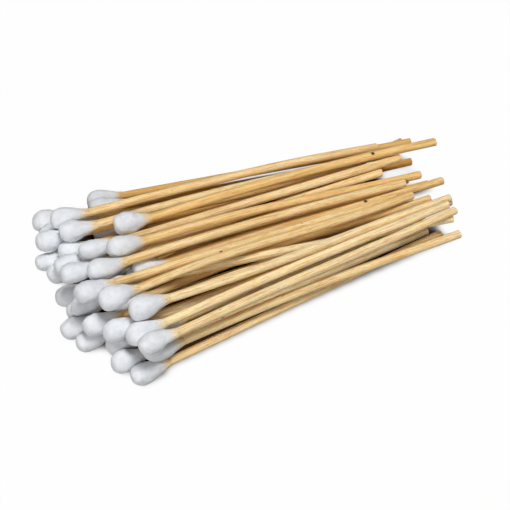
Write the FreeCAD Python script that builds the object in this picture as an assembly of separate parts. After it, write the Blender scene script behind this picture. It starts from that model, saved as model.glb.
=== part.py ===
import FreeCAD, Part
import math
import os

# A bundle of single-ended cotton swabs, tipped out and lying as it settled.
# Each swab is a round birch stick with a drop of cotton wound on one end.
# The swabs lie side by side with their tips towards -X, crossing a little,
# so the tips heap up and the bare ends fan out low. All lengths are in mm.

# The swab
SWAB_LENGTH = 100.0        # from the nose of the cotton to the cut end of the stick
STICK_DIAMETER = 2.4
TIP_LENGTH = 11.0          # cotton, from its nose to the neck on the stick
TIP_DIAMETER = 5.7         # a usual tip at its fattest; the rows below add to it
TIP_SHOULDER = 3.7         # from the nose to the fattest place
NOSE_DIAMETER = 2.6        # the blunt end of the winding
COTTON_OVER_END = 2.8      # how far the cotton runs past the end of the stick
NECK_WALL = 0.15           # cotton left round the stick where the winding ends
BORE_CLEARANCE = 0.02      # between the stick and the cotton wound on it
BORE_PAST_NECK = 1.0       # the bore is cut this far past the neck, so that it is open there

# How the swabs lie
CONTACT_GAP = 0.05         # left between two swabs that rest on each other
BALANCE_POINT = 0.45       # of the swab's length, from the nose
ROLL_STEPS = (1.2, 0.8, 0.5, 0.3)   # sideways steps that a settling swab tries
ROLL_MOVES = ((1, 0), (-1, 0), (0, 1), (0, -1), (1, 1), (-1, -1))   # of its tip, of its end
ROLL_GRIP = 0.08           # how firmly friction holds it where it was dropped
ROUGH_FALL_STEPS = 1       # steps of working out a fall: its slope is left out
TRUE_FALL_STEPS = 3        # its slope is taken up and settles
TURN_OF_EACH = 37.0        # degrees that each next swab is turned about its own axis

# The winding is drawn with flats, because there are many tips
TIP_FLATS = 10
BORE_FLATS = 8
DOME_TURN = 40.0           # degrees round the dome to its one ring of corners

# Steps along a swab at which its rest on the others is worked out
TIP_STEP = 1.0
STICK_STEP = 1.5

# Tips are too many to name one by one, so neighbours share a name
TIPS_TO_A_GROUP = 3

# Where each swab lies, from the bottom of the bundle to the top: the middle of
# its tip across the table (x, y), the y of its cut end, and how much fatter than
# usual its tip is.
SWABS = [
    (-40.0, -25.5, -8.0, 0.0),
    (-43.5, -21.5, -5.5, 0.3),
    (-43.0, -14.5, -3.0, 0.0),
    (-50.0, -12.0, -0.5, -0.2),
    (-52.5, -7.0, 2.0, 0.1),
    (-49.5, 0.5, 5.0, -0.3),
    (-51.0, 6.0, 8.5, 0.2),
    (-35.0, 12.0, 12.0, -0.3),
    (-51.0, 13.5, 15.5, -0.2),
    (-53.0, 20.5, 19.0, -0.4),
    (-35.0, 26.5, 23.0, -0.2),
    (-49.5, 30.5, 26.0, 0.2),
    (-50.0, 35.5, 28.5, 0.0),
    (-33.0, 38.5, 31.0, -0.3),
    (-31.5, 6.0, 31.0, 0.0),
    (-34.0, 33.5, 26.0, 0.1),
    (-41.5, 30.5, 24.0, 0.0),
    (-35.5, -23.5, -9.0, -0.2),
    (-32.0, -16.0, 0.5, -0.1),
    (-47.5, -10.0, 1.0, 0.3),
    (-43.5, -14.0, -1.5, 0.2),
    (-38.0, -7.5, 3.5, 0.0),
    (-48.5, -5.0, 6.0, 0.1),
    (-30.5, 1.5, 8.5, 0.2),
    (-39.5, 5.0, 14.0, -0.2),
    (-49.0, 14.0, 16.0, -0.2),
    (-46.5, 17.0, 18.5, -0.1),
    (-51.5, 21.5, 21.0, 0.3),
    (-46.0, 26.5, 25.0, -0.1),
    (-45.0, 20.5, 21.0, 0.1),
    (-39.0, 0.5, -9.0, 0.0),
    (-38.5, -18.0, -6.0, 0.2),
    (-37.0, -22.0, -7.0, 0.0),
    (-42.0, 13.5, 17.0, 0.1),
    (-30.5, 17.0, 18.0, 0.3),
    (-49.0, 4.0, 11.0, 0.0),
    (-42.5, 2.0, 11.5, 0.1),
    (-47.5, -2.5, 7.0, 0.4),
    (-42.5, -8.5, 6.5, 0.2),
    (-35.5, 3.5, 12.0, 0.0),
    (-36.0, -15.5, -5.0, 0.4),
]


def tip_radius(along, fattest):
    """Radius of the cotton at a distance from its nose: a round dome, then a long taper."""
    nose = NOSE_DIAMETER / 2
    if along <= TIP_SHOULDER:
        rise = math.sqrt(max(0.0, 1 - (1 - along / TIP_SHOULDER) ** 2))
        return nose + (fattest - nose) * rise
    fall = (along - TIP_SHOULDER) / (TIP_LENGTH - TIP_SHOULDER)
    neck = neck_radius()
    return neck + (fattest - neck) * (1 + math.cos(math.pi * fall)) / 2


def bore_radius():
    """To the corners of the bore, so that its flats clear the round stick."""
    return (STICK_DIAMETER / 2 + BORE_CLEARANCE) / math.cos(math.pi / BORE_FLATS)


def neck_radius():
    """To the corners of the winding where it ends on the stick."""
    return (bore_radius() + NECK_WALL) / math.cos(math.pi / TIP_FLATS)


def ring(along, radius, flats):
    """Corners of one even-sided section across the swab's axis."""
    turns = [2 * math.pi * k / flats for k in range(flats)]
    return [FreeCAD.Vector(along, radius * math.cos(a), radius * math.sin(a)) for a in turns]


def flat_face(corners):
    return Part.Face(Part.makePolygon(corners + corners[:1]))


def flatted_solid(sections):
    """A closed solid with straight flats from each section to the next."""
    faces = [flat_face(sections[0]), flat_face(sections[-1])]
    for near, far in zip(sections, sections[1:]):
        for k in range(len(near)):
            after = (k + 1) % len(near)
            faces.append(flat_face([near[k], near[after], far[after], far[k]]))
    solid = Part.makeSolid(Part.makeShell(faces))
    if solid.Volume < 0:
        solid.reverse()
    return solid


def make_stick():
    """The round stick, from its end inside the cotton to its cut end."""
    start = FreeCAD.Vector(COTTON_OVER_END, 0, 0)
    length = SWAB_LENGTH - COTTON_OVER_END
    return Part.makeCylinder(STICK_DIAMETER / 2, length, start, FreeCAD.Vector(1, 0, 0))


def make_tip(fattest):
    """The wound cotton, with the blind bore that the stick fills."""
    dome = TIP_SHOULDER * (1 - math.cos(math.radians(DOME_TURN)))
    taper = (TIP_SHOULDER + TIP_LENGTH) / 2
    stations = [0.0, dome, TIP_SHOULDER, taper, TIP_LENGTH]
    outside = flatted_solid([ring(s, tip_radius(s, fattest), TIP_FLATS) for s in stations])
    bore_ends = (COTTON_OVER_END, TIP_LENGTH + BORE_PAST_NECK)
    bore = flatted_solid([ring(s, bore_radius(), BORE_FLATS) for s in bore_ends])
    return outside.cut(bore).Solids[0]


def swab_steps(fattest):
    """Places along a swab, with its radius there, at which rests are worked out."""
    steps = []
    along = 0.0
    while along < TIP_LENGTH:
        steps.append((along, tip_radius(along, fattest)))
        along += TIP_STEP
    while along < SWAB_LENGTH:
        steps.append((along, STICK_DIAMETER / 2))
        along += STICK_STEP
    steps.append((SWAB_LENGTH, STICK_DIAMETER / 2))
    return steps


class Swab:
    """A swab lying in the bundle: where its nose is, which way it points, how fat its tip is."""

    def __init__(self, middle_x, middle_y, turn, pitch, nose_z, fattest):
        self.run, self.rise = math.cos(pitch), math.sin(pitch)
        self.along_x, self.along_y = self.run * math.cos(turn), self.run * math.sin(turn)
        self.x = middle_x - self.along_x * TIP_LENGTH / 2
        self.y = middle_y - self.along_y * TIP_LENGTH / 2
        self.z = nose_z
        self.balls = []
        for along, radius in swab_steps(fattest):
            if along < TIP_LENGTH:
                self.balls.append((*self.point(along), radius))

    def point(self, along):
        return (self.x + self.along_x * along, self.y + self.along_y * along, self.z + self.rise * along)

    def height_over(self, x, y, radius):
        """Lowest height at which a ball of this radius, let down at x, y, rests on the swab."""
        best = 0.0
        dx, dy = x - self.x, y - self.y
        along = (dx * self.along_x + dy * self.along_y) / self.run**2
        aside = abs(dx * self.along_y - dy * self.along_x) / self.run
        if along < -TIP_DIAMETER or aside > radius + TIP_DIAMETER:
            return best
        reach = radius + STICK_DIAMETER / 2 + CONTACT_GAP
        past_rim = SWAB_LENGTH + STICK_DIAMETER / 2
        if aside < reach and TIP_LENGTH <= along <= past_rim:
            best = self.z + self.rise * along + math.sqrt(reach**2 - aside**2) / self.run
        if along < TIP_LENGTH + TIP_DIAMETER:
            for ball_x, ball_y, ball_z, ball in self.balls:
                room = (radius + ball + CONTACT_GAP) ** 2 - (x - ball_x) ** 2 - (y - ball_y) ** 2
                if room > 0:
                    best = max(best, ball_z + math.sqrt(room))
        return best


def rest_line(heights):
    """Lowest straight line over all the heights, as a swab falls: it rests on the pair
    of places, one on each side of its balance point, that holds that point highest."""
    balance = BALANCE_POINT * SWAB_LENGTH
    before = [p for p in heights if p[0] <= balance]
    after = [p for p in heights if p[0] > balance]
    best = None
    for near, low in before:
        for far, high in after:
            slope = (high - low) / (far - near)
            level = low + slope * (balance - near)
            if best is None or level > best[0]:
                best = (level, low - slope * near, slope)
    return best


def let_down(x, y, end_y, fattest, laid, steps):
    """Lower a swab straight down, and return the height of its balance point and the swab."""
    turn = math.asin((end_y - y) / (SWAB_LENGTH - TIP_LENGTH / 2))
    pitch = 0.0
    for _ in range(steps):
        run = math.cos(pitch)
        heights = []
        for along, radius in swab_steps(fattest):
            px = x + (along - TIP_LENGTH / 2) * run * math.cos(turn)
            py = y + (along - TIP_LENGTH / 2) * run * math.sin(turn)
            need = radius
            for other in laid:
                need = max(need, other.height_over(px, py, radius))
            heights.append((along, need))
        level, nose_z, slope = rest_line(heights)
        pitch = math.asin(slope)
    return level, Swab(x, y, turn, pitch, nose_z, fattest)


def settle(x, y, end_y, fattest, laid):
    """Let a swab roll sideways at either end for as long as that lowers it enough."""
    def cost(tip_aside, end_aside):
        aside_y, aside_end_y = y + tip_aside, end_y + end_aside
        level, _ = let_down(x, aside_y, aside_end_y, fattest, laid, ROUGH_FALL_STEPS)
        return level + ROLL_GRIP * (tip_aside**2 + end_aside**2)

    tip_aside, end_aside = 0.0, 0.0
    lowest = cost(tip_aside, end_aside)
    for step in ROLL_STEPS:
        for tip_move, end_move in ROLL_MOVES:
            tried = cost(tip_aside + tip_move * step, end_aside + end_move * step)
            if tried < lowest:
                lowest = tried
                tip_aside += tip_move * step
                end_aside += end_move * step
    _, swab = let_down(x, y + tip_aside, end_y + end_aside, fattest, laid, TRUE_FALL_STEPS)
    return swab


def place(shape, swab, roll):
    """Put a shape that was drawn along +X on a laid swab's axis."""
    axis = FreeCAD.Vector(1, 0, 0)
    lie = FreeCAD.Rotation(axis, FreeCAD.Vector(swab.along_x, swab.along_y, swab.rise))
    placed = shape.copy()
    nose = FreeCAD.Vector(swab.x, swab.y, swab.z)
    placed.Placement = FreeCAD.Placement(nose, lie.multiply(FreeCAD.Rotation(axis, roll)))
    return placed


def build():
    laid, sticks, tips = [], [], []
    stick = make_stick()
    for count, (x, y, end_y, fatter) in enumerate(SWABS):
        fattest = (TIP_DIAMETER + fatter) / 2
        swab = settle(x, y, end_y, fattest, laid)
        laid.append(swab)
        roll = TURN_OF_EACH * count
        sticks.append(place(stick, swab, roll))
        tips.append(place(make_tip(fattest), swab, roll))
    box = Part.makeCompound(sticks + tips).optimalBoundingBox()
    to_middle = FreeCAD.Vector(-box.Center.x, -box.Center.y, -box.ZMin)
    for shape in sticks + tips:
        shape.translate(to_middle)
    nodes = {}
    for count, shape in enumerate(sticks, 1):
        nodes["stick_%02d" % count] = shape
    for first in range(0, len(tips), TIPS_TO_A_GROUP):
        group = tips[first:first + TIPS_TO_A_GROUP]
        name = "cotton_tips_%02d" % (first // TIPS_TO_A_GROUP + 1)
        nodes[name] = Part.makeCompound(group)
    return nodes, box


os.makedirs("parts", exist_ok=True)
NODES, BOX = build()
for node, shape in NODES.items():
    shape.exportStep("parts/%s.step" % node)
print("%d swabs, %.1f x %.1f x %.1f mm" % (len(SWABS), BOX.XLength, BOX.YLength, BOX.ZLength))
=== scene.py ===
# %% [markdown]
# # A bundle of cotton swabs
#
# The object is a handful of wooden swabs, tipped out and lying as they settled.
# Each one is a round birch stick with a drop of cotton wool wound on one end.
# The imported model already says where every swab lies. This script keeps those
# places and dresses them: sticks with grain, knots and a sawn end, wound wool
# that thins out into wisps on the wood, and a few loose fibres standing off it.

import math
import random

import bpy
import numpy as np
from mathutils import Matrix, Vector, kdtree, noise


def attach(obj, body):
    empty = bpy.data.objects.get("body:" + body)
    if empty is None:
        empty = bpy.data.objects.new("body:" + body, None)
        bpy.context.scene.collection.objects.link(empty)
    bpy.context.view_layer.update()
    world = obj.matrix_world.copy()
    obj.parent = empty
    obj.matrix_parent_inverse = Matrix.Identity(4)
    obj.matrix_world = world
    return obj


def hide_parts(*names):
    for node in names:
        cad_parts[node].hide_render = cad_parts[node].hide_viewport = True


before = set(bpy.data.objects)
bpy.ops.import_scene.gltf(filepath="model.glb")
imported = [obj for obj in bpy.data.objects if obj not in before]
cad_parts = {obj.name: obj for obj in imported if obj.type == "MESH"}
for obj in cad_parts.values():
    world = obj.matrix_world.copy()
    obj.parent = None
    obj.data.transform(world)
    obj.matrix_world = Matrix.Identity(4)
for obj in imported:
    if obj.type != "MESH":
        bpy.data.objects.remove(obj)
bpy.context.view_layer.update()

# %% [markdown]
# ## Sizes
#
# Blender works in metres, so one millimetre gets a name and every size is
# written with it. The sizes of a swab are the same ones that the solid model
# was drawn with. The rest are the small irregularities of the real thing, and
# they are given where they are first used.

# %% Sizes of a swab
MM = 0.001
SWAB_LENGTH = 100.0 * MM
STICK_RADIUS = 1.2 * MM
TIP_LENGTH = 11.0 * MM
TIP_SHOULDER = 3.7 * MM
WOOL_OVER_END = 2.8 * MM
TIPS_TO_A_GROUP = 3

swab_count = sum(name.startswith("stick_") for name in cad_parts)
print("swabs:", swab_count)

# %% [markdown]
# ## Where each swab lies
#
# A stick's solid has corners only round its two ends, so the middle of each
# end gives the stick's axis. From there the nose of the wool is a known step
# back. A frame of three directions on that axis lets the rest of the script
# draw every swab as if it lay along one line, and put it in place at the end.

# %% A swab's own directions
class Lie:
    """Where one swab lies: its nose, its direction, and two directions across it."""

    def __init__(self, nose, along):
        self.nose = nose
        self.along = along
        across = along.cross(Vector((0, 0, 1))).normalized()
        upward = across.cross(along).normalized()
        self.turn = np.array((along, across, upward))

    def place(self, points):
        """Turn an array of (along, across, upward) points into places in the bundle."""
        return points @ self.turn + np.array(self.nose)

    def unplace(self, places):
        """Turn places in the bundle back into (along, across, upward) points."""
        return (places - np.array(self.nose)) @ self.turn.T


print("a lie along x keeps x:", Lie(Vector(), Vector((1, 0, 0))).place(np.array((1, 0, 0))))

# %% Read the axis of every stick
CORNER_DIGITS = 7


def node_points(name):
    """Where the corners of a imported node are."""
    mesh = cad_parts[name].data
    return np.array([v.co for v in mesh.vertices])


def read_lie(number):
    """The lie of one swab, from the two ends of its stick."""
    points = np.unique(node_points(f"stick_{number:02d}").round(CORNER_DIGITS), axis=0)
    middle = points[:, 0].mean()
    start = Vector(points[points[:, 0] < middle].mean(axis=0))
    end = Vector(points[points[:, 0] > middle].mean(axis=0))
    along = (end - start).normalized()
    return Lie(start - along * WOOL_OVER_END, along)


lies = {number: read_lie(number) for number in range(1, swab_count + 1)}
steepest = max(abs(lie.along.z) for lie in lies.values())
print("steepest swab rises", round(math.degrees(math.asin(steepest)), 1), "degrees")

# %% [markdown]
# How fat each tip was wound differs a little. The solid tips have a ring of
# corners at their fattest place, all at one distance from the axis, so that
# distance is read there.

# %% Read how fat every tip is
RING_WIDTH = 0.004 * MM
RADIUS_DIGITS = 6


def group_of(number):
    """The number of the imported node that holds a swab's tip."""
    return (number - 1) // TIPS_TO_A_GROUP + 1


def read_fatness(number):
    """The radius that most corners have at the fattest place of a tip."""
    points = lies[number].unplace(node_points(f"cotton_tips_{group_of(number):02d}"))
    ring = points[abs(points[:, 0] - TIP_SHOULDER) < RING_WIDTH]
    radii = np.hypot(ring[:, 1], ring[:, 2]).round(RADIUS_DIGITS)
    values, counts = np.unique(radii, return_counts=True)
    return float(values[counts.argmax()])


fatness = {number: read_fatness(number) for number in lies}
radii = [round(radius / MM, 3) for radius in fatness.values()]
print("tips from", min(radii), "to", max(radii), "mm in radius")

# %% [markdown]
# ## Meshes from rings
#
# Sticks, wool and fibres are all made the way a lathe makes them: rings of
# points strung along a line, joined by four-sided faces and closed at each end.
# A helper does the joining, so each piece only has to say where its points are.

# %% Join rings of points into a closed mesh
def ring_faces(rings, sides, first_point=0):
    """Faces between rings, and a fan to a point at each end."""
    faces = []
    for ring in range(rings - 1):
        for side in range(sides):
            near = first_point + ring * sides
            after = (side + 1) % sides
            faces.append((near + side, near + after, near + sides + after, near + sides + side))
    start, end = first_point + rings * sides, first_point + rings * sides + 1
    far = first_point + (rings - 1) * sides
    for side in range(sides):
        after = (side + 1) % sides
        faces.append((start, first_point + after, first_point + side))
        faces.append((end, far + side, far + after))
    return faces


print("two rings of four points close into", len(ring_faces(2, 4)), "faces")

# %% [markdown]
# Every point also keeps its own unbent place on the swab, in millimetres, as an
# attribute. The materials read it to lay grain and strands along the swab. Each
# swab adds a shift of its own to it, so that no two show the same pattern. The
# lowest swabs lie on the floor, and what would dip under it is pressed flat.

# %% Turn points into a piece of the bundle
PATTERN_SEED = 2000
PATTERN_REACH = 900


def store(piece, name, kind, values):
    """Keep one value for each point of a piece, for its material to read."""
    stored = piece.data.attributes.new(name, kind, "POINT")
    field = "vector" if kind == "FLOAT_VECTOR" else "value"
    stored.data.foreach_set(field, np.asarray(values, dtype=np.float32).ravel())


def own_pattern(number):
    """A shift, in millimetres, so that no two swabs share a stretch of pattern."""
    draw = random.Random(PATTERN_SEED + number)
    return np.array([draw.uniform(0, PATTERN_REACH) for _ in range(3)])


def make_piece(name, number, points, bent, faces, material):
    """A smooth mesh object that rides with the bundle and stays above the floor."""
    places = lies[number].place(bent)
    places[:, 2] = np.maximum(places[:, 2], 0)
    mesh = bpy.data.meshes.new(name)
    mesh.from_pydata(places.tolist(), [], faces)
    mesh.shade_smooth()
    mesh.materials.append(material)
    piece = bpy.data.objects.new(name, mesh)
    bpy.context.scene.collection.objects.link(piece)
    store(piece, "on_swab", "FLOAT_VECTOR", points / MM + own_pattern(number))
    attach(piece, "root")
    return piece


print("the first swab's pattern is shifted by", own_pattern(1).round(1), "mm")

# %% [markdown]
# ## Writing materials as sums
#
# A material is a net of nodes. Wrapping a socket in a small class lets the
# script write the net as ordinary sums, and each sum adds its own Math node. All
# other nodes come from one method of a second class, which keeps the net of one
# material, or of the light all around.

# %% A socket that can be added and multiplied
class Value:
    """One number that changes over a surface."""

    def __init__(self, recipe, socket):
        self.recipe = recipe
        self.socket = socket

    def maths(self, operation, first, second):
        """A Math node on two numbers."""
        settings = {"operation": operation}
        return self.recipe.node("ShaderNodeMath", settings, {0: first, 1: second})

    def __add__(self, other):
        return self.maths("ADD", self, other)

    def __radd__(self, other):
        return self.maths("ADD", other, self)

    def __sub__(self, other):
        return self.maths("SUBTRACT", self, other)

    def __rsub__(self, other):
        return self.maths("SUBTRACT", other, self)

    def __mul__(self, other):
        return self.maths("MULTIPLY", self, other)

    def __rmul__(self, other):
        return self.maths("MULTIPLY", other, self)

# %% A recipe for one net of nodes
class Recipe:
    """The net of a material, or of the light all around, in the making."""

    def __init__(self, owner, skin):
        owner.use_nodes = True
        self.owner = owner
        self.tree = owner.node_tree
        self.skin = self.tree.nodes[skin]

    def node(self, kind, settings, sockets, output=0):
        """Any node: its type, its settings, and the values or links of its sockets."""
        made = self.tree.nodes.new(kind)
        for name, value in settings.items():
            setattr(made, name, value)
        self.fill(made, sockets)
        return Value(self, made.outputs[output])

    def fill(self, made, sockets):
        """Link or set the sockets of a node."""
        for name, value in sockets.items():
            if isinstance(value, Value):
                self.tree.links.new(value.socket, made.inputs[name])
            else:
                made.inputs[name].default_value = value

    def finish(self, sockets):
        """Set the sockets of the net's own shader."""
        self.fill(self.skin, sockets)
        return self.owner

    def show_instead(self, share, other):
        """Let another shader stand in for the net's own, by a share."""
        own = Value(self, self.skin.outputs[0])
        blend = self.node("ShaderNodeMixShader", {}, {0: share, 1: own, 2: other})
        output = next(node for node in self.tree.nodes if node.type.startswith("OUTPUT"))
        self.tree.links.new(blend.socket, output.inputs["Surface"])

    def stored(self, name, output="Fac"):
        """What the mesh keeps at each of its points under a name."""
        return self.node("ShaderNodeAttribute", {"attribute_name": name}, {}, output)

    def vector_maths(self, operation, first, second, output=0):
        """A Vector Math node on two vectors."""
        settings = {"operation": operation}
        return self.node("ShaderNodeVectorMath", settings, {0: first, 1: second}, output)

    def clouds(self, scale, detail=3.0, roughness=0.55):
        """Soft random patches from 0 to 1, so many to a millimetre each way."""
        place = self.vector_maths("MULTIPLY", self.stored("on_swab", "Vector"), scale)
        sockets = {"Vector": place, "Scale": 1.0, "Detail": detail, "Roughness": roughness}
        return self.node("ShaderNodeTexNoise", {}, sockets, "Fac")

    def between(self, value, low, high):
        """0 below low, 1 above high, and a smooth step between."""
        sockets = {"Value": value, "From Min": low, "From Max": high}
        return self.node("ShaderNodeMapRange", {"interpolation_type": "SMOOTHSTEP"}, sockets)

    def mix(self, share, first, second):
        """A colour between two others."""
        sockets = {0: share, 6: self.colour(first), 7: self.colour(second)}
        return self.node("ShaderNodeMix", {"data_type": "RGBA"}, sockets, 2)

    def colour(self, value):
        """A colour as a socket takes it."""
        return value if isinstance(value, Value) else (*value, 1)

    def bump(self, height, strength, distance):
        """Dents and ridges that only the light sees."""
        sockets = {"Height": height, "Strength": strength, "Distance": distance}
        return self.node("ShaderNodeBump", {}, sockets, "Normal")


def new_material(name):
    """A material to be filled in."""
    return Recipe(bpy.data.materials.new(name), "Principled BSDF")

# %% [markdown]
# ## Birch
#
# Swab sticks are cut from pale birch. Some are nearly cream, some are a warm gold
# and a few a little deeper, so each stick keeps a tone of its own. The sticks low
# in the pile are painted deeper still, as shade. The grain runs along the stick as
# fine streaks and pores, more orange than the wood between them. The noise is read
# in the stick's own directions, stretched along it, so it works like a real block
# of wood: streaks on the side turn into dots on the sawn end. Thin wood lets light
# through, and that light comes out redder. Here and there a small dark knot shows,
# and a stick keeps the place of its own.

# %% The pattern of plain birch
BIRCH_GOLD = (0.88, 0.61, 0.255)
BIRCH_CREAM = (0.94, 0.79, 0.505)
# the deep colour is a little of the wood's own tone and mostly painted shade on the sticks low in
# the pile
BIRCH_DEEP_AND_PAINTED_SHADE = (0.70, 0.36, 0.09)
BIRCH_STREAK = (0.60, 0.31, 0.08)
BIRCH_SPOT = (0.10, 0.035, 0.01)
TONE_DRIFT = 0.9
DEEP_TONES_AND_PAINTED_SHADE = (-0.7, 0.2)
STREAKS_SHOW, STREAKS_SHARE = (0.45, 0.72), 0.75
PORES_SHOW, PORES_SHARE = (0.48, 0.70), 0.65
SPOTS_SHOW, SPOTS_SHARE = (0.73, 0.78), 0.7


def plain_wood(recipe):
    """The colour of one stick's wood, with painted shade on the sticks low in the pile, and the
    streaks and pores in it.
    """
    drift = recipe.clouds((0.03, 0.5, 0.5), detail=1.0)
    streaks = recipe.clouds((0.08, 2.4, 2.4), detail=4.0, roughness=0.6)
    pores = recipe.clouds((0.35, 5.0, 5.0), detail=3.0, roughness=0.6)
    spots = recipe.clouds((0.35, 0.9, 0.9), detail=2.0)
    tone = recipe.stored("tone") + (drift - 0.5) * TONE_DRIFT
    colour = recipe.mix(recipe.between(tone, 0.0, 1.0), BIRCH_GOLD, BIRCH_CREAM)
    # painted shade: the stored tone falls below nought on sticks low in the pile, and the deep
    # colour shows it
    colour = recipe.mix(recipe.between(tone, *DEEP_TONES_AND_PAINTED_SHADE), BIRCH_DEEP_AND_PAINTED_SHADE, colour)
    streaked = recipe.between(streaks, *STREAKS_SHOW) * STREAKS_SHARE
    colour = recipe.mix(streaked, colour, BIRCH_STREAK)
    pored = recipe.between(pores, *PORES_SHOW) * PORES_SHARE
    colour = recipe.mix(pored, colour, BIRCH_STREAK)
    spotted = recipe.between(spots, *SPOTS_SHOW) * SPOTS_SHARE
    colour = recipe.mix(spotted, colour, BIRCH_SPOT)
    return colour, streaks, pores


print("plain wood runs from", BIRCH_DEEP_AND_PAINTED_SHADE, "to", BIRCH_CREAM)

# %% The birch material
SAWN_END = (0.55, 0.34, 0.15)
KNOT_RADIUS = 0.75
KNOT_CORE = 0.45
KNOT_UNEVEN = 0.6


def make_birch():
    """The material of the sticks: plain wood, its sawn end and its knot."""
    recipe = new_material("birch")
    colour, streaks, pores = plain_wood(recipe)
    colour = recipe.mix(recipe.stored("sawn"), colour, SAWN_END)
    colour = recipe.mix(knot_share(recipe, streaks), colour, BIRCH_SPOT)
    return recipe.finish({
        "Base Color": colour,
        "Roughness": 0.55 + streaks * 0.2,
        "Specular IOR Level": 0.12,
        "Subsurface Weight": 0.4,
        "Subsurface Radius": (1.0, 0.4, 0.1),
        "Subsurface Scale": 0.45 * MM,
        "Normal": recipe.bump(streaks * 0.6 + pores * 0.4, 0.6, 0.08 * MM),
    })


def knot_share(recipe, streaks):
    """How much of the knot's colour shows: its edge is as uneven as the grain."""
    place = recipe.stored("on_swab", "Vector")
    away = recipe.vector_maths("DISTANCE", place, recipe.stored("knot", "Vector"), "Value")
    uneven = away + (streaks - 0.5) * KNOT_UNEVEN
    return 1 - recipe.between(uneven, KNOT_RADIUS * KNOT_CORE, KNOT_RADIUS)


birch = make_birch()
print("made", birch.name, "with", len(birch.node_tree.nodes), "nodes")

# %% [markdown]
# ## Cotton wool
#
# Wound wool is nearly white and has no gloss, and light goes a little way into
# it, so its shadows are soft. Every fibre could be a hair, but at this size the
# eye sees only a soft white with a faint grain. So scattering under the surface
# makes the softness, and a fine bump, drawn out along the tip, makes the grain.
# Towards the neck the winding thins out until it is a film, and the wood shows
# through it in streaks. So the white fades in wisps into the wood of its own
# stick.

# %% The cotton material
COTTON = (0.80, 0.83, 0.88)
# painted shade: the wool is coloured a little darker and bluer in the hollows of its bump
COTTON_PAINTED_SHADE = (0.715, 0.75, 0.81)
PAINTED_SHADE_IN_HOLLOWS = (0.36, 0.6)
WOOD_SHOWS = (0.25, 0.95)
WISPS_UNEVEN = 0.9


def make_cotton():
    """The material of the tips: wool that thins out over plain wood."""
    recipe = new_material("cotton_wool")
    tufts = recipe.clouds((0.5, 0.5, 0.5), detail=3.0)
    strands = recipe.clouds((0.9, 3.8, 3.8), detail=4.0, roughness=0.7)
    wisps = recipe.clouds((0.2, 2.4, 2.4), detail=3.0, roughness=0.6)
    thin = recipe.stored("thin") + (wisps - 0.5) * WISPS_UNEVEN
    hollows_for_shade = tufts * 0.5 + strands * 0.5
    # painted shade: darker colour where the bump's noise is low, in its hollows
    colour = recipe.mix(recipe.between(hollows_for_shade, *PAINTED_SHADE_IN_HOLLOWS), COTTON_PAINTED_SHADE, COTTON)
    colour = recipe.mix(recipe.between(thin, *WOOD_SHOWS), colour, plain_wood(recipe)[0])
    return recipe.finish({
        "Base Color": colour,
        "Roughness": 1.0,
        "Specular IOR Level": 0.1,
        "Subsurface Weight": 0.6,
        "Subsurface Radius": (1.0, 1.0, 1.0),
        "Subsurface Scale": 0.7 * MM,
        "Normal": recipe.bump(strands * 0.6 + tufts * 0.4, 0.9, 0.18 * MM),
    })


cotton = make_cotton()
print("made", cotton.name, "with", len(cotton.node_tree.nodes), "nodes")

# %% [markdown]
# ## The sticks
#
# A stick is turned round, but wood moves as it dries: it ends up a hair out of
# round and slightly bowed. A curve with a round bevel would bend as well, but
# rings of points can also be out of round and end in a slanting cut. In a bundle
# a stick can only bow where its neighbours leave it room. So each stick draws a
# number of bends by chance and keeps the largest one that fits.

# %% Bends that fit between the neighbours
BOW = 1.1 * MM
SWAY = 0.45 * MM
BEND_FROM = 10.0 * MM
BEND_TRIES = 40
LEAST_ROOM = 2.3 * MM
ROOM_STEPS = 180
CHECK_EVERY = 4
STICK_SEED = 1000
STRAIGHT = (0.0, 0.0, 0.0, 0.0)


def bend_at(bend, along):
    """How far aside and up a bend carries the stick at a distance from the nose."""
    share = np.maximum(0.0, (along - BEND_FROM) / (SWAB_LENGTH - BEND_FROM))
    bow, sway = np.sin(math.pi * share), np.sin(2 * math.pi * share)
    return bend[0] * bow + bend[2] * sway, bend[1] * bow + bend[3] * sway


def bend_size(bend):
    """How far a bend carries the middle of the stick off its straight line."""
    return float(np.hypot(*bend[:2]))


def middle_line(number, bend):
    """Places along the middle of a stick, from its neck to its sawn end."""
    along = np.linspace(TIP_LENGTH, SWAB_LENGTH, ROOM_STEPS)
    aside, lift = bend_at(bend, along)
    return lies[number].place(np.column_stack((along, aside, lift)))


def room_for(line, others):
    """The least distance from a middle line to the other sticks', or the floor's limit."""
    nearest = min(others.find(place)[2] for place in line[::CHECK_EVERY])
    return min(nearest, line[:, 2].min() - STICK_RADIUS + LEAST_ROOM)


def tree_of_others(number, lines):
    """The middle lines of all sticks but one, ready to be searched."""
    others = kdtree.KDTree(ROOM_STEPS * (len(lines) - 1))
    for other, line in lines.items():
        if other != number:
            for place in line:
                others.insert(place, 0)
    others.balance()
    return others


def find_bends():
    """Give every stick the largest of its drawn bends that has room."""
    lines = {number: middle_line(number, STRAIGHT) for number in lies}
    bends = dict.fromkeys(lies, STRAIGHT)
    for number in lies:
        others = tree_of_others(number, lines)
        draw = random.Random(STICK_SEED + number)
        for _ in range(BEND_TRIES):
            size = draw.random()
            bend = tuple(size * draw.uniform(-most, most) for most in (BOW, BOW, SWAY, SWAY))
            line = middle_line(number, bend)
            larger = bend_size(bend) > bend_size(bends[number])
            if larger and room_for(line, others) > LEAST_ROOM:
                bends[number], lines[number] = bend, line
    return bends


bends = find_bends()
print("bends in mm:", sorted(round(bend_size(bend) / MM, 2) for bend in bends.values()))

# %% [markdown]
# The saw cuts the far end flat, a little off square, with a crisp edge. So the
# rim's edges are marked sharp, and the last bit of wood before the cut is a ring
# of its own, which keeps the sawn colour off the side. The near end is inside
# the wool, where nobody sees it.

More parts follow.
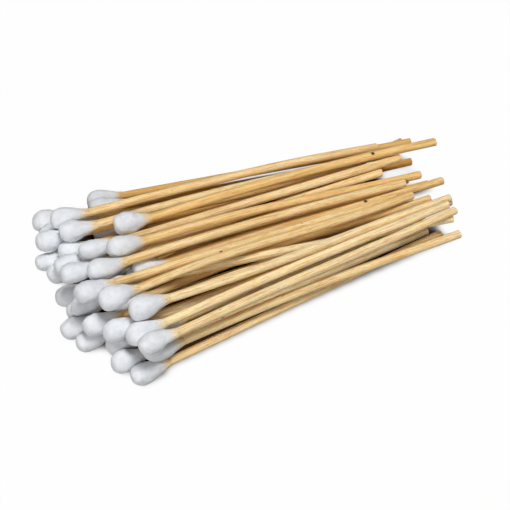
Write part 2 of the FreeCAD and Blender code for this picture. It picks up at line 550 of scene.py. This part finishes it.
# %% Shape of one stick
STICK_SIDES = 24
STICK_RINGS = 44
OUT_OF_ROUND = 0.03
OUT_OF_ROUND_ALONG = 0.06
OUT_OF_ROUND_AROUND = 1.3
NOISE_APART = 7
THICKER_OR_THINNER = 0.03
BROKEN_EDGE = 0.04 * MM
OFF_SQUARE = 0.16
SLANT_FADES = 30


def stick_radius(girth, number, along, turn):
    """How far the wood is from the stick's middle: a hair out of round."""
    around = math.cos(turn) * OUT_OF_ROUND_AROUND, math.sin(turn) * OUT_OF_ROUND_AROUND
    place = (along / MM * OUT_OF_ROUND_ALONG, around[0] + number * NOISE_APART, around[1])
    radius = girth * (1 + OUT_OF_ROUND * noise.noise(Vector(place)))
    return radius - BROKEN_EDGE if along == SWAB_LENGTH else radius


def stick_points(number):
    """A stick's points on its own swab, unbent and bent, and how many rings they make."""
    draw = random.Random(STICK_SEED + number)
    slant = draw.uniform(-OFF_SQUARE, OFF_SQUARE)
    girth = STICK_RADIUS * (1 + draw.uniform(-THICKER_OR_THINNER, THICKER_OR_THINNER))
    stations = np.linspace(WOOL_OVER_END, SWAB_LENGTH - BROKEN_EDGE, STICK_RINGS)
    stations = np.append(stations, SWAB_LENGTH)
    straight, bent = [], []
    for along in stations:
        aside, lift = bend_at(bends[number], along)
        for side in range(STICK_SIDES):
            turn = 2 * math.pi * side / STICK_SIDES
            radius = stick_radius(girth, number, along, turn)
            y, z = radius * math.cos(turn), radius * math.sin(turn)
            sawn = along + slant * y * (along / SWAB_LENGTH) ** SLANT_FADES
            straight.append((sawn, y, z))
            bent.append((sawn, y + aside, z + lift))
    for along in (stations[0], stations[-1]):
        straight.append((along, 0, 0))
        bent.append((along, 0, 0))
    return np.array(straight), np.array(bent), len(stations)


print("a stick has", len(stick_points(1)[0]), "points")

# %% [markdown]
# A knot is given by how far it is along the stick, in millimetres, and how far
# round it, in degrees. A stick without one keeps a knot far off its near end.
# The tone of the wood is mostly chance, and the sticks in front are the palest.
# The ones low down in the pile, behind the front ones, get a painted shade: their
# wood is painted deeper where the pile shades them.

# %% Knots and tones
KNOTS = {
    12: (48.0, 130.0),
    24: (73.0, 80.0),
    31: (62.0, 200.0),
    35: (79.5, 75.0),
    38: (41.0, 20.0),
}
NOWHERE = (-50.0, 0.0, 0.0)
TONE_SEED = 4000
TONE_BY_CHANCE = 0.6
PALER_IN_FRONT = 0.4
PALE_WIDTH = 30.0 * MM
# painted shade: how much deeper the wood of sticks low in the pile is made, and from what height
PAINTED_SHADE_LOW_DOWN = 0.85
PAINTED_SHADE_HEIGHT = 9.0 * MM
DEEPEST_PAINTED_SHADE = -0.35


def knot_place(number):
    """A knot's place, in millimetres, in the shifted pattern of its own stick."""
    place = NOWHERE
    if number in KNOTS:
        along, degrees = KNOTS[number]
        turn, radius = math.radians(degrees), STICK_RADIUS / MM
        place = (along, radius * math.cos(turn), radius * math.sin(turn))
    return np.array(place) + own_pattern(number)


def tone_and_shade_of(number):
    """How pale the wood of one swab is, with painted shade on the sticks low in the pile."""
    middle = lies[number].nose + lies[number].along * SWAB_LENGTH / 2
    in_front = min(max(0.5 - middle.y / PALE_WIDTH, 0), 1)
    low = min(max(1 - middle.z / PAINTED_SHADE_HEIGHT, 0), 1)
    chance = random.Random(TONE_SEED + number).random()
    tone = TONE_BY_CHANCE * chance + PALER_IN_FRONT * in_front
    # painted shade: sticks low in the pile, and not in front, are made deeper
    return max(DEEPEST_PAINTED_SHADE, tone - PAINTED_SHADE_LOW_DOWN * low * (1 - in_front))


tones = [tone_and_shade_of(number) for number in lies]
print("tones from", round(min(tones), 2), "to", round(max(tones), 2))

# %% Make every stick
def sharpen_rim(mesh, rings):
    """Mark the edges round the sawn end as sharp."""
    sawn_from = (rings - 2) * STICK_SIDES
    rim = set(range(sawn_from, rings * STICK_SIDES))
    for edge in mesh.edges:
        first, second = edge.vertices
        same_ring = first // STICK_SIDES == second // STICK_SIDES
        edge.use_edge_sharp = same_ring and first in rim and second in rim


def make_stick(number):
    """One stick, from its end inside the wool to its sawn end."""
    straight, bent, rings = stick_points(number)
    name = f"birch_stick_{number:02d}"
    faces = ring_faces(rings, STICK_SIDES)
    piece = make_piece(name, number, straight, bent, faces, birch)
    count = len(straight)
    sawn = np.zeros(count)
    sawn[(rings - 1) * STICK_SIDES:rings * STICK_SIDES] = 1
    sawn[-1] = 1
    store(piece, "sawn", "FLOAT", sawn)
    # the tone carries the painted shade of sticks low in the pile
    store(piece, "tone", "FLOAT", np.full(count, tone_and_shade_of(number)))
    store(piece, "knot", "FLOAT_VECTOR", np.tile(knot_place(number), (count, 1)))
    sharpen_rim(piece.data, rings)
    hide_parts(f"stick_{number:02d}")
    return piece


sticks = [make_stick(number) for number in lies]
print("made", len(sticks), "sticks of", len(sticks[0].data.polygons), "faces")

# %% [markdown]
# ## The wound tips
#
# A machine winds a ribbon of loose wool on the wet stick, so a tip is a drop
# with a blunt round nose, fattest near it, and a long taper to the neck. Its
# surface has soft lumps where the ribbon was thick, and a faint slanting ridge
# where it overlaps itself. A ball could be dented by hand, but here each point is
# worked out from its place along and round the tip, so the nose stays blunt, the
# neck closes on the stick and no two tips are alike. The lumps are real bumps in
# the mesh, because they show on the outline. A few tips are wound more loosely
# than the others.

# %% The drop shape of a tip
NOSE_POWER = 2.5
HOLLOW_NECK = 0.55
WOOL_AT_NECK = 0.07 * MM


def drop_radius(along, fattest, fullness):
    """Radius of the wool at a distance from its nose."""
    if along <= TIP_SHOULDER:
        left = 1 - along / TIP_SHOULDER
        return fattest * (1 - left ** NOSE_POWER) ** (1 / NOSE_POWER)
    fall = ((along - TIP_SHOULDER) / (TIP_LENGTH - TIP_SHOULDER)) ** fullness
    wave = (1 + math.cos(math.pi * fall)) / 2
    share = HOLLOW_NECK * wave + (1 - HOLLOW_NECK) * (1 - fall)
    neck = STICK_RADIUS + WOOL_AT_NECK
    return neck + (fattest - neck) * share


profile = [drop_radius(TIP_LENGTH * k / 4, fatness[1], 1) / MM for k in range(5)]
print("radius along the first tip, in mm:", [round(radius, 2) for radius in profile])

# %% Lumps and windings on a tip
RELIEF_ALONG = 0.22
RELIEF_AROUND = 0.8
LUMP, LUMP_FINENESS = 0.50 * MM, 0.7
TUFT, TUFT_FINENESS, TUFT_OCTAVES = 0.07 * MM, 3.4, 3
RIDGE, RIDGE_FINENESS, RIDGE_WANDERS = 0.03 * MM, 1.5, 2
TURNS = 2.5


def wool_relief(along, turn, seed, looseness):
    """How far the wool stands out from the plain drop shape."""
    around = math.cos(turn) * RELIEF_AROUND + seed, math.sin(turn) * RELIEF_AROUND
    place = Vector((along / MM * RELIEF_ALONG, *around))
    lumps = noise.noise(place * LUMP_FINENESS) * LUMP
    tufts = noise.turbulence(place * TUFT_FINENESS, TUFT_OCTAVES, False) * TUFT
    slant = turn + 2 * math.pi * TURNS * along / TIP_LENGTH
    wander = RIDGE_WANDERS * noise.noise(place * RIDGE_FINENESS)
    ridge = math.sin(slant + wander) * RIDGE
    return (lumps + tufts + ridge) * looseness


relief = [wool_relief(TIP_SHOULDER, turn, 0, 1) / MM for turn in range(6)]
print("relief round a tip, in mm:", [round(height, 2) for height in relief])

# %% One tip's own shape
TIP_SEED = 3000
NOISE_REACH = 100
LOOSENESS = (0.8, 0.9, 1.0, 1.2, 1.4)
LOOSE_TIPS = {19: 1.5, 24: 1.8, 35: 2.0}
LEAST_FULL, MOST_FULL = 0.95, 1.3
NOSE_ASIDE = 0.45 * MM
WOOL_SIDES = 52
WOOL_RINGS = 60
FIRST_RING = 0.6
RINGS_CROWD = 1.35


class Drop:
    """One tip's own shape, drawn by a seeded chance."""

    def __init__(self, number):
        draw = random.Random(TIP_SEED + number)
        self.seed = draw.uniform(0, NOISE_REACH)
        self.looseness = LOOSE_TIPS.get(number, draw.choice(LOOSENESS))
        self.fullness = draw.uniform(LEAST_FULL, MOST_FULL)
        self.aside = (draw.uniform(-1, 1) * NOSE_ASIDE, draw.uniform(-1, 1) * NOSE_ASIDE)
        self.fattest = fatness[number]
        self.draw = draw

    def point(self, along, turn, above=0.0):
        """A place on the wool, or a little above it."""
        plain = drop_radius(along, self.fattest, self.fullness)
        free = min(1, (plain - STICK_RADIUS) / MM)
        radius = plain + wool_relief(along, turn, self.seed, self.looseness) * free + above
        lean = max(0.0, 1 - along / TIP_SHOULDER) ** 2
        return (
            along,
            radius * math.cos(turn) + self.aside[0] * lean,
            radius * math.sin(turn) + self.aside[1] * lean,
        )


def wool_points(drop):
    """The points of a tip, ring by ring and then its two ends."""
    points = []
    for ring in range(WOOL_RINGS):
        along = TIP_LENGTH * ((ring + FIRST_RING) / WOOL_RINGS) ** RINGS_CROWD
        for side in range(WOOL_SIDES):
            points.append(drop.point(min(along, TIP_LENGTH), 2 * math.pi * side / WOOL_SIDES))
    return points + [(0, *drop.aside), (TIP_LENGTH, 0, 0)]


print("looseness of each tip:", [Drop(number).looseness for number in lies])

# %% [markdown]
# ## Loose fibres
#
# A few single fibres work loose from the winding and stand off it. Each one is
# a very thin three-sided tube that starts in the wool, follows it for a short
# way and lifts at its end. Hair would look the same, but tubes are part of their
# tip's own mesh, so they stay with it wherever the mesh is used.

# %% Fibres that stand off a tip
FIBRES = 24
FIBRE_STEPS = 7
FIBRE_SIDES = 3
FIBRE_RADIUS = 0.028 * MM
FIBRE_TAPER = 0.6
FIBRE_ROOTS = (0.5, 8.0)
FIBRE_RUN = 1.4
FIBRE_SWEEP = 0.9
LEAST_LIFT = 0.3
FIBRE_LIFT = 0.55 * MM
CLEAR_OF_NOSE = 0.2 * MM
OFF_THE_AXES = Vector((0.3, 0.5, 0.8))


def fibre_line(drop):
    """The middle line of one fibre, from inside the wool to its free end."""
    draw = drop.draw
    along, turn = draw.uniform(*FIBRE_ROOTS) * MM, draw.uniform(0, 2 * math.pi)
    run, sweep = draw.uniform(-FIBRE_RUN, FIBRE_RUN) * MM, draw.uniform(-FIBRE_SWEEP, FIBRE_SWEEP)
    lift = draw.uniform(LEAST_LIFT, 1.0) * FIBRE_LIFT
    line = []
    for step in range(FIBRE_STEPS):
        share = step / (FIBRE_STEPS - 1)
        here = min(max(along + run * share, CLEAR_OF_NOSE), TIP_LENGTH)
        above = lift * share ** 2 - FIBRE_RADIUS
        line.append(Vector(drop.point(here, turn + sweep * share, above)))
    return line


def fibre_points(line):
    """Thin rings round a line, thinner towards its end."""
    points = []
    for step, middle in enumerate(line):
        before, after = line[max(step - 1, 0)], line[min(step + 1, len(line) - 1)]
        direction = (after - before).normalized()
        across = direction.cross(OFF_THE_AXES).normalized()
        radius = FIBRE_RADIUS * (1 - FIBRE_TAPER * step / (FIBRE_STEPS - 1))
        for side in range(FIBRE_SIDES):
            turn = 2 * math.pi * side / FIBRE_SIDES
            offset = across * math.cos(turn) + direction.cross(across) * math.sin(turn)
            points.append(tuple(middle + offset * radius))
    return points + [tuple(line[0]), tuple(line[-1])]


print("a fibre has", len(ring_faces(FIBRE_STEPS, FIBRE_SIDES)), "faces")

# %% Make every tip
THIN_FROM = 6.2 * MM


def make_tip(number):
    """One tip with its loose fibres, and how thin its wool is at each point."""
    drop = Drop(number)
    points = wool_points(drop)
    faces = ring_faces(WOOL_RINGS, WOOL_SIDES)
    for _ in range(round(FIBRES * drop.looseness)):
        faces += ring_faces(FIBRE_STEPS, FIBRE_SIDES, len(points))
        points += fibre_points(fibre_line(drop))
    points = np.array(points)
    name = f"wound_cotton_{number:02d}"
    piece = make_piece(name, number, points, points, faces, cotton)
    thin = (points[:, 0] - THIN_FROM) / (TIP_LENGTH - THIN_FROM)
    store(piece, "thin", "FLOAT", np.clip(thin, 0, 1))
    # the tone carries the painted shade of sticks low in the pile, for the wood under the wisps
    store(piece, "tone", "FLOAT", np.full(len(points), tone_and_shade_of(number)))
    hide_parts(f"cotton_tips_{group_of(number):02d}")
    return piece


tips = [make_tip(number) for number in lies]
print("made", len(tips), "tips of about", len(tips[0].data.polygons), "faces")

# %% [markdown]
# ## The floor
#
# The swabs lie on something white and evenly lit. Brighter lamps would whiten the
# ground, but they would burn out the wool too. So the floor glows, only as the
# camera sees it, and not under the bundle, where hardly any light arrives: there
# the gaps between the sticks have to stay dark, so there the floor is painted a
# dark brown shade. For that the floor is a fine grid, and each of its points keeps
# how open it lies. That starts from its distance to the nearest swab, seen from above.

# %% How far each place on the floor is from the nearest swab
FLOOR_REACH = 1500.0 * MM
FINE_REACH_X = 85.0 * MM
FINE_REACH_Y = 60.0 * MM
FINE_STEP = 0.7 * MM


def floor_grid():
    """Lines across the floor: close together under the bundle, then one far out."""
    xs = np.arange(-FINE_REACH_X, FINE_REACH_X + FINE_STEP / 2, FINE_STEP)
    ys = np.arange(-FINE_REACH_Y, FINE_REACH_Y + FINE_STEP / 2, FINE_STEP)
    xs = np.concatenate(([-FLOOR_REACH], xs, [FLOOR_REACH]))
    ys = np.concatenate(([-FLOOR_REACH], ys, [FLOOR_REACH]))
    return xs, ys


def distance_to_line(places, lie, first, last):
    """Plan distance from each place to one stretch of a swab's axis."""
    start = np.array((lie.nose + lie.along * first)[:2])
    run = np.array(lie.along[:2]) * (last - first)
    share = np.clip((places - start) @ run / (run @ run), 0, 1)
    return np.linalg.norm(places - start - share[:, None] * run, axis=1)


def distance_to_swabs(places):
    """Plan distance from each place to the outline of the nearest swab."""
    nearest = np.full(len(places), FLOOR_REACH)
    for number, lie in lies.items():
        to_tip = distance_to_line(places, lie, TIP_SHOULDER, TIP_LENGTH / 2) - fatness[number]
        to_stick = distance_to_line(places, lie, TIP_LENGTH, SWAB_LENGTH) - STICK_RADIUS
        nearest = np.minimum(nearest, np.minimum(to_tip, to_stick))
    return nearest


print("floor grid:", " by ".join(str(len(lines)) for lines in floor_grid()))

# %% [markdown]
# Ground is clear if it is a good step away from every swab, and a point is open
# if there is clear ground within its reach. A narrow gap has no clear ground in
# it, so it counts as under the bundle, while the ground round the bundle is open
# right up to the swabs. The sawn ends are fanned out and the gaps there are
# wide, so a smaller step does for them. At last the grid is evened out a little,
# because a thin strip of clear ground would show as a row of dots.

# %% How open each place on the floor lies
OPEN_STEP = 1.7 * MM
OPEN_STEP_AT_ENDS = 0.3 * MM
ENDS_FROM = 40.0 * MM
ENDS_WIDTH = 7.0 * MM
CLEAR_WIDTH = 0.7 * MM
SHADE_FROM = 1.8 * MM
SHADE_WIDTH = 1.5 * MM
SOFTENINGS = 3


def openness(places, width):
    """1 on the ground round the bundle, 0 under it, and a short slope between."""
    at_ends = np.clip((places[:, 0] - ENDS_FROM) / ENDS_WIDTH, 0, 1)
    step = OPEN_STEP + (OPEN_STEP_AT_ENDS - OPEN_STEP) * at_ends
    clear = np.clip((distance_to_swabs(places) - step) / CLEAR_WIDTH, 0, 1)
    return spread(clear.reshape(-1, width), step.reshape(-1, width)).ravel()


def spread(clear, step):
    """Make each place of a grid as open as the clearest ground within its reach."""
    reach = math.ceil((OPEN_STEP + SHADE_FROM + SHADE_WIDTH) / FINE_STEP)
    most = np.zeros_like(clear)
    for down in range(-reach, reach + 1):
        for right in range(-reach, reach + 1):
            away = math.hypot(down, right) * FINE_STEP
            share = np.clip(1 - (away - step - SHADE_FROM) / SHADE_WIDTH, 0, 1)
            most = np.maximum(most, np.roll(clear, (down, right), (0, 1)) * share)
    return most


def soften(values, width):
    """Even out the values of a grid with those of the four points around each."""
    grid = values.reshape(-1, width)
    for _ in range(SOFTENINGS):
        edged = np.pad(grid, 1, mode="edge")
        above_and_below = edged[:-2, 1:-1] + edged[2:, 1:-1]
        beside = edged[1:-1, :-2] + edged[1:-1, 2:]
        grid = (above_and_below + beside + 2 * grid) / 6
    return grid.ravel()


print("a point is open within", (OPEN_STEP + SHADE_FROM) / MM, "mm of clear ground")

# %% Make the floor
FLOOR_WHITE = (0.45, 0.45, 0.45)
# painted shade: the floor's dark brown colour under the bundle
FLOOR_PAINTED_SHADE = (0.06, 0.022, 0.005)
FLOOR_GLOW = 0.985


def make_floor():
    """The grid of the floor, which keeps how open each of its points lies."""
    xs, ys = floor_grid()
    places = np.array([(x, y) for y in ys for x in xs])
    width = len(xs)
    faces = []
    for row in range(len(ys) - 1):
        for column in range(width - 1):
            near = row * width + column
            faces.append((near, near + 1, near + width + 1, near + width))
    mesh = bpy.data.meshes.new("floor")
    mesh.from_pydata([(x, y, 0) for x, y in places], [], faces)
    mesh.materials.append(make_white_sheet_with_painted_shade())
    floor = bpy.data.objects.new("floor", mesh)
    bpy.context.scene.collection.objects.link(floor)
    store(floor, "open", "FLOAT", soften(openness(places, width), width))
    return floor


def make_white_sheet_with_painted_shade():
    """White ground that glows to the camera where it is open, and is painted a dark brown shade
    under the bundle.
    """
    recipe = new_material("white_sheet_with_painted_shade")
    seen = recipe.node("ShaderNodeLightPath", {}, {}, "Is Camera Ray")
    glow = recipe.node("ShaderNodeEmission", {}, {"Color": (1, 1, 1, 1), "Strength": 1.0})
    # painted shade: under the bundle the floor takes the dark brown colour
    colour = recipe.mix(recipe.stored("open"), FLOOR_PAINTED_SHADE, FLOOR_WHITE)
    recipe.show_instead(seen * recipe.stored("open") * FLOOR_GLOW, glow)
    return recipe.finish({"Base Color": colour, "Roughness": 0.9, "Specular IOR Level": 0.1})


floor = make_floor()
print("floor has", len(floor.data.polygons), "cells")

# %% [markdown]
# ## Light
#
# The picture is lit by one wide soft lamp nearly overhead, a little towards the
# viewer, which leaves a narrow shade under every stick. A weaker lamp stands low
# on the viewer's left and lights the sides that face the camera. A very weak
# warm light comes from all around, and the air behind the scene is white to the
# camera.

# %% Two lamps
def make_lamp(name, place, size, power, colour):
    """A square soft lamp that faces the middle of the floor."""
    data = bpy.data.lights.new(name, "AREA")
    data.shape = "SQUARE"
    data.size = size
    data.energy = power
    data.color = colour
    lamp = bpy.data.objects.new(name, data)
    lamp.location = place
    lamp.rotation_euler = (-Vector(place)).to_track_quat("-Z", "Y").to_euler()
    bpy.context.scene.collection.objects.link(lamp)
    return lamp


lamps = [
    make_lamp(
        "key_lamp",
        place=(0.08, -0.14, 0.82),
        size=0.26,
        power=5.3,
        colour=(1.0, 0.985, 0.96),
    ),
    make_lamp(
        "fill_lamp",
        place=(-0.56, -0.54, 0.44),
        size=0.4,
        power=3.6,
        colour=(1.0, 0.97, 0.92),
    ),
]
print("lamps:", [lamp.name for lamp in lamps])

# %% The light all around
AIR_COLOUR = (1.0, 0.88, 0.74, 1)
AIR_LIGHT = 0.02


def make_air():
    """An even light from all around, which the camera sees as white."""
    recipe = Recipe(bpy.data.worlds.new("even_light"), "Background")
    seen = recipe.node("ShaderNodeLightPath", {}, {}, "Is Camera Ray")
    white = recipe.node("ShaderNodeBackground", {}, {"Color": (1, 1, 1, 1)})
    recipe.show_instead(seen, white)
    return recipe.finish({"Color": AIR_COLOUR, "Strength": AIR_LIGHT})


bpy.context.scene.world = make_air()
bpy.context.scene.view_settings.view_transform = "Standard"
print("light all around:", AIR_LIGHT)

# %% [markdown]
# ## Camera
#
# The picture looks down on the bundle at nearly half a right angle, from a
# little to the left of straight across it. The lens is a long one, so the far
# ends of the sticks are hardly smaller than the tips.

# %% Place the camera
VIEW_AZIMUTH = math.radians(-21.6)
VIEW_HEIGHT = math.radians(46.5)
VIEW_DISTANCE = 300.0 * MM
VIEW_AIM = Vector((-3.85 * MM, -6.64 * MM, 5.0 * MM))
LENS_TO_WIDTH = 1080 / 510
SENSOR = 36.0
NEAREST_SEEN = 10.0 * MM


def make_camera():
    """The camera, looking along its line of sight at the bundle."""
    data = bpy.data.cameras.new("camera")
    data.sensor_width = SENSOR
    data.lens = SENSOR * LENS_TO_WIDTH
    data.clip_start = NEAREST_SEEN
    level = math.cos(VIEW_HEIGHT)
    sight = Vector((
        -math.sin(VIEW_AZIMUTH) * level,
        math.cos(VIEW_AZIMUTH) * level,
        -math.sin(VIEW_HEIGHT),
    ))
    camera = bpy.data.objects.new("camera", data)
    camera.location = VIEW_AIM - sight * VIEW_DISTANCE
    camera.rotation_euler = sight.to_track_quat("-Z", "Y").to_euler()
    bpy.context.scene.collection.objects.link(camera)
    bpy.context.scene.camera = camera
    return camera


camera = make_camera()
print("camera at", [round(c, 3) for c in camera.location])
